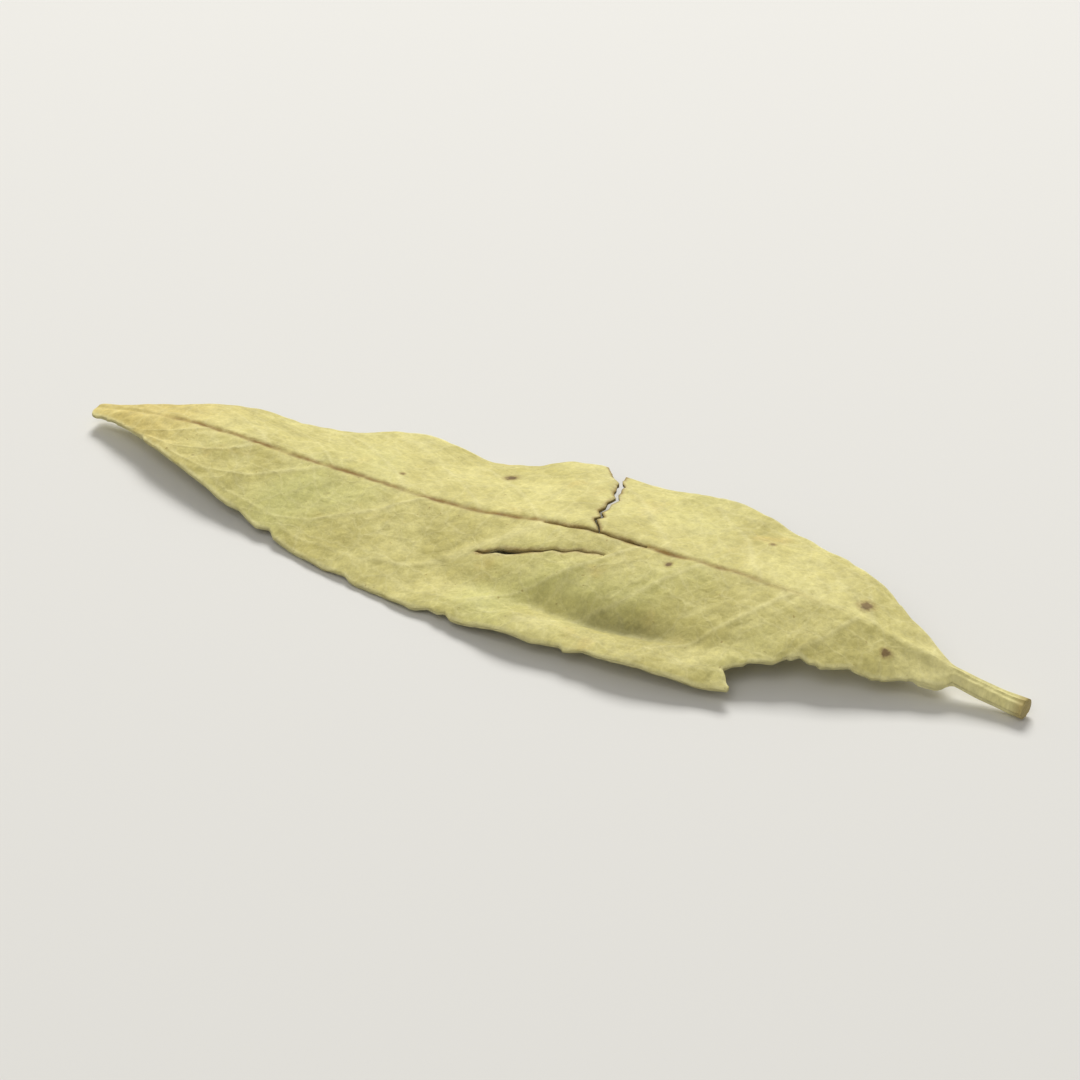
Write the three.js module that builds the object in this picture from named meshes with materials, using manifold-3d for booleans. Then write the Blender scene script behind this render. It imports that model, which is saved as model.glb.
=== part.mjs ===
import * as THREE from 'three';
import { ParametricGeometry } from 'three/addons/geometries/ParametricGeometry.js';
import { mergeVertices } from 'three/addons/utils/BufferGeometryUtils.js';
import Module from 'manifold-3d';

// One dried senna leaflet lying on a flat surface with its upper face up.
// Millimetres, +Z up. The tip is at -X, the stalk at +X and the near margin at -Y.
// In the leaf's own terms, s is the distance from the tip along the midrib and
// a share of the half width, from 0 at the midrib to 1 at the margin, says how far out a point is.

const wasm = await Module();
wasm.setup();

// Outline
const LENGTH = 38;
const BLADE_LENGTH = 35.3;
const TIP_HALF_WIDTH = 0.5;
const TIP_ROUNDING = 0.5;
const STALK_HALF_WIDTH = 0.34;
const STALK_ROUNDING = 0.3;
const STALK_BLEND = 1.6;

// The two halves: how wide each is, where it is widest, as a share of the blade, and how
// slenderly it closes at the base. Then how steeply it droops at the tip and at the base,
// the waves along its margin, and the height of its curled margin and the trough inside it.
const NEAR_HALF = {
  side: -1,
  halfWidth: 5.6,
  widestAt: 0.63,
  closing: 1,
  tipDroop: 0.17,
  baseDroop: 0.32,
  wave: 0.18,
  waveLength: 11,
  waveStart: 13.6,
  curl: 0.45,
  trough: 0.3,
};
const FAR_HALF = {
  side: 1,
  halfWidth: 5.35,
  widestAt: 0.545,
  closing: 1.1,
  tipDroop: 0.33,
  baseDroop: 0.12,
  wave: 0.28,
  waveLength: 6.6,
  waveStart: 16.2,
  curl: 0,
  trough: 0,
};

// The curled stretch of margin: its middle and reach along the leaf, as shares of the
// length, and the share of the half width at which the curl starts.
const CURL_MIDDLE = 0.6;
const CURL_REACH = 0.115;
const CURL_START = 0.62;
const TROUGH_REACH = 0.14;

// Midrib line: a low shelf behind the tip, then a hump, and a slight sideways bow
const SHELF_HEIGHT = 0.8;
const SHELF_RISE = 0.14;
const SHELF_END = 0.8;
const HUMP_HEIGHT = 0.75;
const HUMP_START = 0.4;
const HUMP_TOP = 0.57;
const HUMP_END = 0.72;
const BOW = -0.16;

// Thickness
const BLADE_THICKNESS = 0.25;
const STALK_THICKNESS = 0.62;
const RIB_HEIGHT = 0.32;
const RIB_HALF_WIDTH = 0.36;
const RIDGE_SOFTNESS = 0.5;
const FLAT_SECTION = 10;
const ROUND_SECTION = 2;

// Mesh grid
const STEPS_AROUND = 36;
const STEPS_ALONG = 72;
const CROWDING_AT_ENDS = 0.8;
const CROWDING_AT_MIDRIB = 1.6;
const WELD = 1e-4;

// Cuts through the blade, as [s, y] points seen from above
const CUT_REACH = 6;
const CROSS_CRACK = [
  [21.3, 0], [20.8, 0.7], [20.7, 1.3], [20.4, 1.9], [20.4, 2.6], [19.9, 3.6], [19.6, 4.3], [18.9, 6.4],
];
const CROSS_CRACK_WIDTHS = [0.14, 0.55];
const VEIN_SLIT = [[22.2, -0.85], [20.3, -1.25], [19.4, -1.6], [17.6, -2.05]];
const VEIN_SLIT_WIDTHS = [0.12, 0.2];
const TORN_MARGIN = [
  [29.2, -9], [28.8, -4.5], [28.9, -4.15], [28.3, -3.75], [28.9, -3.2], [29.8, -2.85], [30.5, -2.25],
  [31.7, -2.15], [32.4, -1.75], [33.3, -1.55], [34.1, -1.05], [34.9, -0.85], [35.6, -0.45], [36.6, -9],
];

// Attitude in degrees in which both margins and the stalk's end touch the surface
const ROLL = 2.96;
const PITCH = 0.22;

const LEAF_COLOUR = 0xcbc282;
const LEAF_ROUGHNESS = 0.8;

const { smoothstep, lerp, degToRad } = THREE.MathUtils;

// How far a point of the leaf has passed from blade into stalk, from 0 to 1.
function stalkShare(s) {
  return smoothstep(s, BLADE_LENGTH - STALK_BLEND, BLADE_LENGTH + STALK_BLEND / 2);
}

// A factor that closes both ends of the leaf with a rounded end.
function endRounding(s) {
  const fromTip = Math.min(s / TIP_ROUNDING, 1);
  const fromStalk = Math.min((LENGTH - s) / STALK_ROUNDING, 1);
  return Math.sqrt((1 - (1 - fromTip) ** 2) * (1 - (1 - fromStalk) ** 2));
}

// Half width: it grows evenly from the tip to its widest place, then closes round the base.
function halfWidth(half, s) {
  const share = Math.min(s / BLADE_LENGTH, 1);
  const power = (half.closing * (1 - half.widestAt)) / half.widestAt;
  const blade = (share / half.widestAt) * ((1 - share) / (1 - half.widestAt)) ** power;
  const core = lerp(TIP_HALF_WIDTH, STALK_HALF_WIDTH, share);
  return Math.hypot(half.halfWidth * blade, core) * endRounding(s);
}

function midribHeight(s) {
  const along = s / LENGTH;
  const shelf = smoothstep(along, -SHELF_RISE, SHELF_RISE) - 0.5;
  const hump = smoothstep(along, HUMP_START, HUMP_TOP) * (1 - smoothstep(along, HUMP_END, 1));
  return 2 * SHELF_HEIGHT * shelf * (1 - smoothstep(along, SHELF_END, 1)) + HUMP_HEIGHT * hump;
}

function midribBow(s) {
  return BOW * Math.sin((2 * Math.PI * s) / LENGTH);
}

// Height of the blade's middle surface above the midrib line.
function bladeHeight(half, s, share) {
  const along = s / LENGTH;
  const width = halfWidth(half, s);
  const slope = lerp(half.tipDroop, half.baseDroop, along);
  const droop = slope * (Math.hypot(share * width, RIDGE_SOFTNESS) - RIDGE_SOFTNESS);
  const wave = half.wave * share ** 2 * Math.sin((2 * Math.PI * (s - half.waveStart)) / half.waveLength);
  const lift = half.curl * smoothstep(share, CURL_START, 1);
  const dip = half.trough * Math.exp(-(((share - CURL_START) / TROUGH_REACH) ** 2));
  const curl = (lift - dip) * Math.exp(-(((along - CURL_MIDDLE) / CURL_REACH) ** 2));
  return (wave + curl) * (width / half.halfWidth) - droop;
}

// Half of the thickness: an even blade with a rounded margin that turns into a round stalk.
function halfThickness(s, share) {
  const stalk = stalkShare(s);
  const thickness = lerp(BLADE_THICKNESS, STALK_THICKNESS, stalk) * endRounding(s);
  const fullness = lerp(FLAT_SECTION, ROUND_SECTION, stalk);
  return (thickness / 2) * Math.sqrt(1 - share ** fullness);
}

// How far the midrib stands below the blade; it fades out towards the tip.
function ribDepth(half, s, share) {
  const out = share * halfWidth(half, s);
  const growth = Math.min(s / BLADE_LENGTH, 1) * (1 - stalkShare(s)) * endRounding(s);
  return RIB_HEIGHT * growth * (1 - share ** 2) * Math.exp(-((out / RIB_HALF_WIDTH) ** 2));
}

// The whole skin: around runs over the upper face from far to near margin and back below,
// along runs from tip to stalk.
function skinPoint(around, along, target) {
  const upper = around < 0.5;
  const position = upper ? 1 - 4 * around : 4 * around - 3;
  const half = position < 0 ? NEAR_HALF : FAR_HALF;
  const share = Math.min(Math.sin((Math.PI * Math.abs(position)) / 2), 1) ** CROWDING_AT_MIDRIB;
  const s = LENGTH * (along - (CROWDING_AT_ENDS * Math.sin(2 * Math.PI * along)) / (2 * Math.PI));
  const droop = lerp(half.tipDroop, half.baseDroop, s / LENGTH);
  const reach = (share * halfWidth(half, s)) / Math.hypot(1, droop);
  const middle = midribHeight(s) + bladeHeight(half, s, share);
  const offset = upper ? halfThickness(s, share) : -halfThickness(s, share) - ribDepth(half, s, share);
  target.set(s - LENGTH / 2, midribBow(s) + half.side * reach, middle + offset);
}

// Shared corners joined and collapsed triangles left out.
function weld(geometry) {
  geometry.deleteAttribute('normal');
  geometry.deleteAttribute('uv');
  const welded = mergeVertices(geometry, WELD);
  const corners = welded.index.array;
  const kept = [];
  for (let i = 0; i < corners.length; i += 3) {
    const [a, b, c] = corners.subarray(i, i + 3);
    if (a !== b && b !== c && c !== a) kept.push(a, b, c);
  }
  welded.setIndex(kept);
  return welded;
}

function solidOf(geometry) {
  const welded = weld(geometry);
  const vertProperties = new Float32Array(welded.attributes.position.array);
  const triVerts = new Uint32Array(welded.index.array);
  return new wasm.Manifold(new wasm.Mesh({ numProp: 3, vertProperties, triVerts }));
}

function geometryOf(solid) {
  const { vertProperties, triVerts } = solid.getMesh();
  const geometry = new THREE.BufferGeometry();
  geometry.setAttribute('position', new THREE.BufferAttribute(vertProperties, 3));
  geometry.setIndex(new THREE.BufferAttribute(triVerts, 1));
  geometry.computeVertexNormals();
  return geometry;
}

// An upright prism over a closed outline of [s, y] points.
function prism(outline) {
  const shape = new THREE.Shape(outline.map(([s, y]) => new THREE.Vector2(s - LENGTH / 2, y)));
  const geometry = new THREE.ExtrudeGeometry(shape, { depth: 2 * CUT_REACH, bevelEnabled: false });
  return solidOf(geometry.translate(0, 0, -CUT_REACH));
}

// The outline of a crack that follows a line and changes width evenly from end to end.
function crackOutline(line, [startWidth, endWidth]) {
  const [first, last] = [line[0], line[line.length - 1]];
  const along = new THREE.Vector2(last[0] - first[0], last[1] - first[1]).normalize();
  const edge = (side) => line.map(([s, y], i) => {
    const offset = (side * lerp(startWidth, endWidth, i / (line.length - 1))) / 2;
    return [s - along.y * offset, y + along.x * offset];
  });
  return [...edge(1), ...edge(-1).reverse()];
}

function leafGeometry() {
  const skin = new ParametricGeometry(skinPoint, STEPS_AROUND, STEPS_ALONG);
  const leaf = solidOf(skin)
    .subtract(prism(TORN_MARGIN))
    .subtract(prism(crackOutline(CROSS_CRACK, CROSS_CRACK_WIDTHS)))
    .subtract(prism(crackOutline(VEIN_SLIT, VEIN_SLIT_WIDTHS)));
  return geometryOf(leaf);
}

function buildLeaf() {
  const material = new THREE.MeshStandardMaterial({
    color: LEAF_COLOUR,
    roughness: LEAF_ROUGHNESS,
    metalness: 0,
  });
  const leaf = new THREE.Mesh(leafGeometry(), material);
  leaf.name = 'senna_leaf';
  leaf.rotation.set(degToRad(ROLL), degToRad(PITCH), 0);
  leaf.updateMatrixWorld();
  const box = new THREE.Box3().setFromObject(leaf, true);
  const centre = box.getCenter(new THREE.Vector3());
  leaf.position.set(-centre.x, -centre.y, -box.min.z);
  return leaf;
}

const part = new THREE.Group();
part.add(buildLeaf());

export default part;
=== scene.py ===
"""A dried senna leaflet on a pale floor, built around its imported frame.

The leaf is one thin closed mesh with a grid on its upper and its lower face. Its shape is worked out in the
leaf's own terms, in millimetres: along is the distance from the tip, out is the signed distance from the
midrib, negative on the near half at -Y, and share is the size of out over the half width there, 0 at the
midrib and 1 at the margin.
"""

from __future__ import annotations

import logging
from dataclasses import dataclass, field
from enum import Enum
from typing import Any, Union

import bpy
import numpy as np
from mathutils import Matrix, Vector

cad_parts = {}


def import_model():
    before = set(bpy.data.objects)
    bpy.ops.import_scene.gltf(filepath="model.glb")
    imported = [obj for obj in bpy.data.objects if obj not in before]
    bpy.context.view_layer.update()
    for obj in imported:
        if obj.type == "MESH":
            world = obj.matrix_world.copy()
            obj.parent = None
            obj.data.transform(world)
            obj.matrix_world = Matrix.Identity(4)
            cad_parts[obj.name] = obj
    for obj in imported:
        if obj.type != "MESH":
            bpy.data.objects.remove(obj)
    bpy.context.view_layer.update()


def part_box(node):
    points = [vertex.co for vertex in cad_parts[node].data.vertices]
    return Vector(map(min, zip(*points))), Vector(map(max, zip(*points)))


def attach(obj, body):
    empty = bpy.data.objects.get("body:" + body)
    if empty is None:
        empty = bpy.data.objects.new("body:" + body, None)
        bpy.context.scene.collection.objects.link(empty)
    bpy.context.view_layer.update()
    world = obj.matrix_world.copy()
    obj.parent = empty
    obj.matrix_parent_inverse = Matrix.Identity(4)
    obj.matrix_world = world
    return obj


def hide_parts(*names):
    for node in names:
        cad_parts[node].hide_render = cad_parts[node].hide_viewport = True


LOG = logging.getLogger("senna_leaf")
NODE = "senna_leaf"
BODY = "root"
FULL_TURN = 2.0 * np.pi
Array = np.ndarray
Stretch = tuple[float, float]


class Face(Enum):
    """The two faces of the blade."""

    UPPER = 1
    LOWER = -1


def mix(start: Any, end: Any, share: Any) -> Any:
    """Start where share is 0, end where it is 1, and evenly between them."""
    return start + (end - start) * share


def smooth_step(value: Array, low: float, high: float) -> Array:
    """Rise from 0 at low to 1 at high as 3t squared less 2t cubed, with t the share of the way."""
    t = np.clip((value - low) / (high - low), 0.0, 1.0)
    return t * t * (3.0 - 2.0 * t)


def plateau(value: Array, rise: Stretch, fall: Stretch) -> Array:
    """Rise smoothly from 0 to 1 over one stretch and fall back to 0 over another."""
    return smooth_step(value, *rise) * (1.0 - smooth_step(value, *fall))


def bell(value: Array, middle: float, reach: float) -> Array:
    """Bell curve of height 1: e to the minus square of the distance from middle over reach."""
    return np.exp(-(((value - middle) / reach) ** 2))


def round_rise(value: Array, reach: float) -> Array:
    """Rise from 0 at 0 to 1 at reach over a quarter of an ellipse: the root of 1 less (1 - t) squared."""
    t = np.clip(value / reach, 0.0, 1.0)
    return np.sqrt(1.0 - (1.0 - t) ** 2)


@dataclass(frozen=True)
class Ripples:
    """Gentle random unevenness, the sum of plane waves in random directions.

    Attributes:
        height: Typical height of the ripples.
        length: Typical wave length.
        seed: Seed of the random directions, lengths and phases.
        count: How many waves are summed.
        spread: Shortest and longest wave length over the typical one.
    """

    height: float
    length: float
    seed: int
    count: int = 11
    spread: Stretch = (0.7, 1.6)

    def at(self, x: Array, y: Array) -> Array:
        """Sum the waves: each is the sine of its wave number times the way along its direction, and a phase.

        Args:
            x: First coordinate of the places.
            y: Second coordinate of the places.

        Returns:
            The height at each place.
        """
        rng = np.random.default_rng(self.seed)
        turn = rng.uniform(0.0, FULL_TURN, self.count)
        number = FULL_TURN / (self.length * rng.uniform(*self.spread, self.count))
        phase = rng.uniform(0.0, FULL_TURN, self.count)
        reached = x[..., None] * (number * np.cos(turn)) + y[..., None] * (number * np.sin(turn))
        return self.height * np.sin(reached + phase).sum(axis=-1) / np.sqrt(self.count / 2.0)

    def on_line(self, x: Array) -> Array:
        """Height of the ripples along one line."""
        return self.at(x, np.zeros_like(x))


@dataclass(frozen=True)
class Nicks:
    """Small chips along a brittle margin.

    Attributes:
        count: How many chips there are.
        deepest: Depth of the deepest chip.
        longest: Half length of the longest chip.
        seed: Seed of their places and sizes.
        places: Where on the margin they may lie, as shares of its length.
        rarity: How much rarer deep chips are than shallow ones, as a power.
        shortest: Half length of the shortest chip over the longest.
        lean: How lopsided a chip may be.
    """

    count: int
    deepest: float
    longest: float
    seed: int
    places: Stretch = (0.02, 0.98)
    rarity: float = 2.2
    shortest: float = 0.3
    lean: float = 0.6

    def at(self, along: Array, length: float) -> Array:
        """Find how deep the margin is chipped: the deepest of one-sided wedges at random places.

        Args:
            along: Distances from the tip.
            length: Length of the margin that the chips lie on.

        Returns:
            Depth of the chips at each distance.
        """
        rng = np.random.default_rng(self.seed)
        place = rng.uniform(*self.places, self.count) * length
        depth = self.deepest * rng.uniform(0.0, 1.0, self.count) ** self.rarity
        reach = self.longest * rng.uniform(self.shortest, 1.0, self.count)
        lean = rng.uniform(-self.lean, self.lean, self.count)
        offset = (along[..., None] - place) / reach
        wedge = 1.0 - np.abs(offset) / (1.0 + lean * np.sign(offset))
        return (depth * np.clip(wedge, 0.0, 1.0)).max(axis=-1)


@dataclass(frozen=True)
class BladeHalf:
    """Sizes of one half of the blade.

    Attributes:
        half_width: Widest distance from midrib to margin.
        widest_at: Where that is, as a share of the blade's length.
        closing: How slenderly the half closes at the base, 1 for a plain round base.
        tip_droop: Slope of the half at the tip.
        base_droop: Slope of the half at the base.
        wave: Height of the waves along the margin.
        wave_length: Length of those waves.
        wave_start: Where a wave starts, from the tip.
        nicks: The chips along the margin.
        curl: How far the curled stretch of margin is turned up.
        trough: Depth of the trough inside the curl.
        crease: Depth of the crease in the trough.
    """

    half_width: float
    widest_at: float
    closing: float
    tip_droop: float
    base_droop: float
    wave: float
    wave_length: float
    wave_start: float
    nicks: Nicks
    curl: float = 0.0
    trough: float = 0.0
    crease: float = 0.0


@dataclass(frozen=True)
class Veins:
    """The side veins: where they leave the midrib, how they sweep and how they join near the margin.

    Attributes:
        pairs: How many side veins leave each side of the midrib.
        sweep: How far a vein runs towards the tip, as a share of the blade, at mid-length.
        straight: Share of that sweep which is even; the rest grows towards the margin.
        loop_share: Where the veins join in loops, as a share of the half width.
        loop_depth: How far the loops swing in and out, as the same share.
        wide: Half width of a vein at the midrib.
        narrow: Half width of a vein at the loops.
        closeness: Width of a vein's gap over the length of midrib that it takes.
        drifts: Slow sines that space the veins unevenly: height, turns over the blade, shift of the halves.
        half_shift: How far the two halves' veins are out of step.
        fading: Shares of the half width over which the side veins fade.
        outer_strength: Strength of a side vein at the margin, 1 at the midrib.
        loop_strength: Strength of the loops.
    """

    pairs: float = 10.0
    sweep: float = 0.19
    straight: float = 0.62
    loop_share: float = 0.84
    loop_depth: float = 0.035
    wide: float = 0.1
    narrow: float = 0.06
    closeness: float = 0.62
    drifts: tuple[tuple[float, float, float], ...] = ((0.30, 1.7, 0.31), (0.14, 4.3, -0.17))
    half_shift: float = 0.25
    fading: Stretch = (0.80, 0.93)
    outer_strength: float = 0.7
    loop_strength: float = 0.6

    def origin(self, blade_share: Array, share: Array) -> Array:
        """Trace a point back along its vein to the midrib.

        A vein that starts at p reaches p less 4 * sweep * K * p * (1 - p), with K the mix of share and its
        square. This solves that quadratic for p.

        Args:
            blade_share: Distance of the point from the tip over the blade's length.
            share: Its share of the half width.

        Returns:
            The share of the blade's length at which its vein leaves the midrib.
        """
        k = 4.0 * self.sweep * (self.straight * share + (1.0 - self.straight) * share**2) + 1e-9
        place = np.clip(blade_share, 0.0, 1.0)
        return (k - 1.0 + np.sqrt((1.0 - k) ** 2 + 4.0 * k * place)) / (2.0 * k)

    def phase(self, origin: Array, side: Array) -> Array:
        """Count veins from the tip, unevenly spaced: the origin times their number, and the drifts.

        Args:
            origin: Where each point's vein leaves the midrib, as a share of the blade's length.
            side: Sign of the half.

        Returns:
            The count, whole on a vein.
        """
        count = origin * self.pairs + self.half_shift * side
        for height, turns, shift in self.drifts:
            count = count + height * np.sin(FULL_TURN * (turns * origin + shift * side))
        return count

    def strength(self, phase: Array, share: Array, width: Array, length: float) -> Array:
        """Find how strongly a vein shows.

        It is a bell across each side vein that fades past the loops, or the loop's own where that is more.

        Args:
            phase: Vein count at each point, whole on a vein.
            share: Share of the half width.
            width: Half width in millimetres.
            length: Length of the blade in millimetres.

        Returns:
            1 on the middle of a vein, 0 away from it.
        """
        gap = length / self.pairs * self.closeness
        distance = np.abs(phase - np.round(phase)) * gap
        fading = (1.0 - smooth_step(share, *self.fading)) * mix(1.0, self.outer_strength, share)
        side_vein = bell(distance / mix(self.wide, self.narrow, share), 0.0, 1.0) * fading
        swing = self.loop_share - self.loop_depth * np.cos(FULL_TURN * phase)
        return np.maximum(side_vein, self.loop_strength * bell((share - swing) * width, 0.0, self.narrow))


@dataclass(frozen=True)
class Points:
    """Points of the leaf, as whole arrays.

    Attributes:
        along: Distances from the tip.
        out: Signed distances from the midrib.
        side: -1 on the near half and 1 on the far half.
        edge: Distances from the nearest margin, tear or crack.
        crack: Distances from the nearest crack.
        lift: How far the lip of a crack lifts each point.
    """

    along: Array
    out: Array
    side: Array
    edge: Array
    crack: Array
    lift: Array


@dataclass(frozen=True)
class LeafShape:
    """The leaf's outline, midrib line, faces and thickness, in millimetres."""

    # Outline
    length: float = 38.0
    blade_length: float = 35.3
    tip_half_width: float = 0.5
    tip_rounding: float = 0.35
    tip_bluntness: float = 0.55
    stalk_half_width: float = 0.34
    stalk_blend: float = 1.6
    stalk_swelling: float = 0.22
    swelling_reach: float = 0.6
    near: BladeHalf = BladeHalf(
        half_width=5.6,
        widest_at=0.63,
        closing=1.0,
        tip_droop=0.17,
        base_droop=0.32,
        wave=0.18,
        wave_length=11.0,
        wave_start=13.6,
        nicks=Nicks(34, 0.30, 0.75, 5),
        curl=0.45,
        trough=0.40,
        crease=0.14,
    )
    far: BladeHalf = BladeHalf(
        half_width=5.35,
        widest_at=0.545,
        closing=1.1,
        tip_droop=0.33,
        base_droop=0.12,
        wave=0.28,
        wave_length=6.6,
        wave_start=16.2,
        nicks=Nicks(26, 0.20, 0.8, 12),
    )

    # Curled stretch of margin, as shares of the length and of the half width, and the crease in its trough
    curl_middle: float = 0.60
    curl_reach: float = 0.115
    curl_start: float = 0.62
    trough_reach: float = 0.115
    crease_middle: float = 24.0
    crease_length: float = 2.3
    crease_share: float = 0.66
    crease_reach: float = 0.055

    # Midrib line, as shares of the length: a low shelf behind the tip, then a hump, and a slight sideways bow
    shelf_height: float = 0.8
    shelf_rise: float = 0.14
    shelf_end: float = 0.8
    hump_height: float = 0.75
    hump_rise: Stretch = (0.4, 0.57)
    hump_fall: Stretch = (0.72, 1.0)
    bow: float = -0.16

    # Thickness
    blade_thickness: float = 0.25
    edge_thinness: float = 0.4
    edge_taper: float = 0.9
    least_thickness: float = 0.03
    stalk_thickness: float = 0.62

    # Relief: midrib and base, stalk, veins, and the unevenness of a dried blade
    rib_height: float = 0.32
    rib_half_width: float = 0.36
    ridge_softness: float = 0.5
    groove_depth: float = 0.05
    groove_half_width: float = 0.13
    groove_end: Stretch = (24.0, 31.0)
    fold_height: float = 0.2
    fold_half_width: float = 0.3
    fold_start: Stretch = (29.0, 35.0)
    stalk_ridges: float = 0.022
    ridge_turns: float = 1.3
    ridge_shift: float = 0.9
    stalk_wrinkles: Ripples = Ripples(0.008, 1.3, 91)
    wrinkle_crowding: float = 2.0
    veins: Veins = Veins()
    veins_start: Stretch = (1.0, 4.0)
    vein_wander: Ripples = Ripples(0.05, 3.2, 17)
    upper_vein_height: float = 0.028
    lower_vein_height: float = 0.06
    pillow_height: float = 0.018
    buckles: Ripples = Ripples(0.055, 5.5, 3)
    midrib_buckling: float = 0.35
    crinkles: Ripples = Ripples(0.03, 2.6, 14)
    wrinkles: Ripples = Ripples(0.018, 1.7, 8, 17)
    upper_grain: Ripples = Ripples(0.006, 0.62, 21, 23)
    lower_grain: Ripples = Ripples(0.008, 0.7, 34, 23)

    def of_half(self, side: Array, name: str) -> Array:
        """Read one size of the half that each point is on."""
        return np.where(side < 0, getattr(self.near, name), getattr(self.far, name))

    def stalk_share(self, along: Array) -> Array:
        """How far a point has passed from blade into stalk, from 0 to 1."""
        start = self.blade_length - self.stalk_blend
        return smooth_step(along, start, self.blade_length + self.stalk_blend / 2.0)

    def half_width(self, along: Array, side: Array) -> Array:
        """Work out the half width before any damage.

        It is the widest size times t over t0, times (1 - t) over (1 - t0) to the power that makes t0 the
        widest place, with t the share of the blade. The tip's or the stalk's own half width is added as the
        root of the squares, and the tip is blunt and rounded.

        Args:
            along: Distances from the tip.
            side: Sign of the half.

        Returns:
            The distance from midrib to margin.
        """
        share = np.clip(along / self.blade_length, 0.0, 1.0)
        widest = self.of_half(side, "widest_at")
        power = self.of_half(side, "closing") * (1.0 - widest) / widest
        blade = share / widest * ((1.0 - share) / (1.0 - widest)) ** power
        core = mix(self.tip_half_width, self.stalk_half_width, share)
        swelling = 1.0 + self.stalk_swelling * bell(along, self.length, self.swelling_reach)
        rounding = mix(self.tip_bluntness, 1.0, round_rise(along, self.tip_rounding))
        return np.hypot(self.of_half(side, "half_width") * blade, core * swelling) * rounding

    def shares(self, at: Points) -> Array:
        """Shares of the half width of the points."""
        return np.clip(np.abs(at.out) / self.half_width(at.along, at.side), 0.0, 1.0)

    def midrib_height(self, along: Array) -> Array:
        """Draw the midrib line: a low shelf behind the tip, then a hump, both ending at the stalk.

        Args:
            along: Distances from the tip.

        Returns:
            The line's height at each distance.
        """
        t = along / self.length
        shelf = 2.0 * self.shelf_height * (smooth_step(t, -self.shelf_rise, self.shelf_rise) - 0.5)
        hump = self.hump_height * plateau(t, self.hump_rise, self.hump_fall)
        return shelf * (1.0 - smooth_step(t, self.shelf_end, 1.0)) + hump

    def middle_surface(self, at: Points) -> tuple[Array, Array, Array]:
        """Place the blade's middle surface.

        The height is the midrib's, less the droop times the softened distance out, plus margin waves that
        grow as the square of share, the curled stretch with its trough and the crease in it, the slow
        buckles of a dried blade, and crinkles that grow as the cube of share.

        Args:
            at: The points.

        Returns:
            The x, y and z of each point.
        """
        half = {
            name: self.of_half(at.side, name)
            for name in BladeHalf.__dataclass_fields__
            if name != "nicks"
        }
        width = self.half_width(at.along, at.side)
        share = np.abs(at.out) / width
        inside = np.clip(share, 0.0, 1.0)
        slope = mix(half["tip_droop"], half["base_droop"], at.along / self.length)
        fall = slope * (np.hypot(at.out, self.ridge_softness) - self.ridge_softness)
        turn = (at.along - half["wave_start"]) / half["wave_length"]
        wave = half["wave"] * share**2 * np.sin(FULL_TURN * turn)
        lift = half["curl"] * smooth_step(share, self.curl_start, 1.0)
        dip = half["trough"] * bell(share, self.curl_start, self.trough_reach)
        curl = (lift - dip) * bell(at.along / self.length, self.curl_middle, self.curl_reach)
        crease = half["crease"] * bell(share, self.crease_share, self.crease_reach)
        curl = curl - crease * bell(at.along, self.crease_middle, self.crease_length)
        buckle = self.buckles.at(at.along, at.out) * mix(self.midrib_buckling, 1.0, inside)
        buckle = buckle + self.crinkles.at(at.along, at.out) * inside**3
        z = self.midrib_height(at.along) - fall + (wave + curl + buckle) * width / half["half_width"]
        y = self.bow * np.sin(FULL_TURN * at.along / self.length) + at.out / np.hypot(1.0, slope)
        return at.along - self.length / 2.0, y, z + at.lift

    def vein_map(self, at: Points) -> tuple[Array, Array]:
        """Find the veins over the blade, a little uneven in their paths.

        Args:
            at: The points.

        Returns:
            How strongly a vein shows, and the vein count, at each point.
        """
        share = self.shares(at)
        origin = self.veins.origin(at.along / self.blade_length, share)
        phase = self.veins.phase(origin, at.side) + self.vein_wander.at(at.along, at.out) * share
        shown = self.veins.strength(phase, share, self.half_width(at.along, at.side), self.blade_length)
        ends = smooth_step(at.along, *self.veins_start) * (1.0 - self.stalk_share(at.along))
        return shown * ends, phase

    def half_thickness(self, at: Points) -> Array:
        """Work out half of the thickness, before any relief.

        The blade's is even, and falls to a thin edge over a quarter of an ellipse at every margin and crack.
        The stalk's is an ellipse of the share.

        Args:
            at: The points.

        Returns:
            The distance from the middle surface to either face.
        """
        blade = self.blade_thickness * mix(self.edge_thinness, 1.0, round_rise(at.edge, self.edge_taper))
        stalk = self.stalk_thickness * np.sqrt(1.0 - self.shares(at) ** 2)
        return np.maximum(mix(blade, stalk, self.stalk_share(at.along)), self.least_thickness) / 2.0

    def stalk_relief(self, at: Points, face: Face) -> Array:
        """Raise ridges along the stalk, as a cosine of the share, and wrinkles across it.

        Args:
            at: The points.
            face: Upper or lower.

        Returns:
            The height, away from the stalk's axis.
        """
        share = self.shares(at)
        ridges = np.cos((FULL_TURN * self.ridge_turns * share + self.ridge_shift) * face.value)
        wrinkles = self.stalk_wrinkles.at(at.along * self.wrinkle_crowding, share * face.value)
        return (self.stalk_ridges * ridges + wrinkles) * (1.0 - share**2)

    def pillow(self, at: Points, phase: Array) -> Array:
        """How near a point is to a vein's line, 1 there and -1 between two, fading to midrib and margin."""
        share = self.shares(at)
        return np.cos(FULL_TURN * phase) * 4.0 * share * (1.0 - share)

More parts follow.
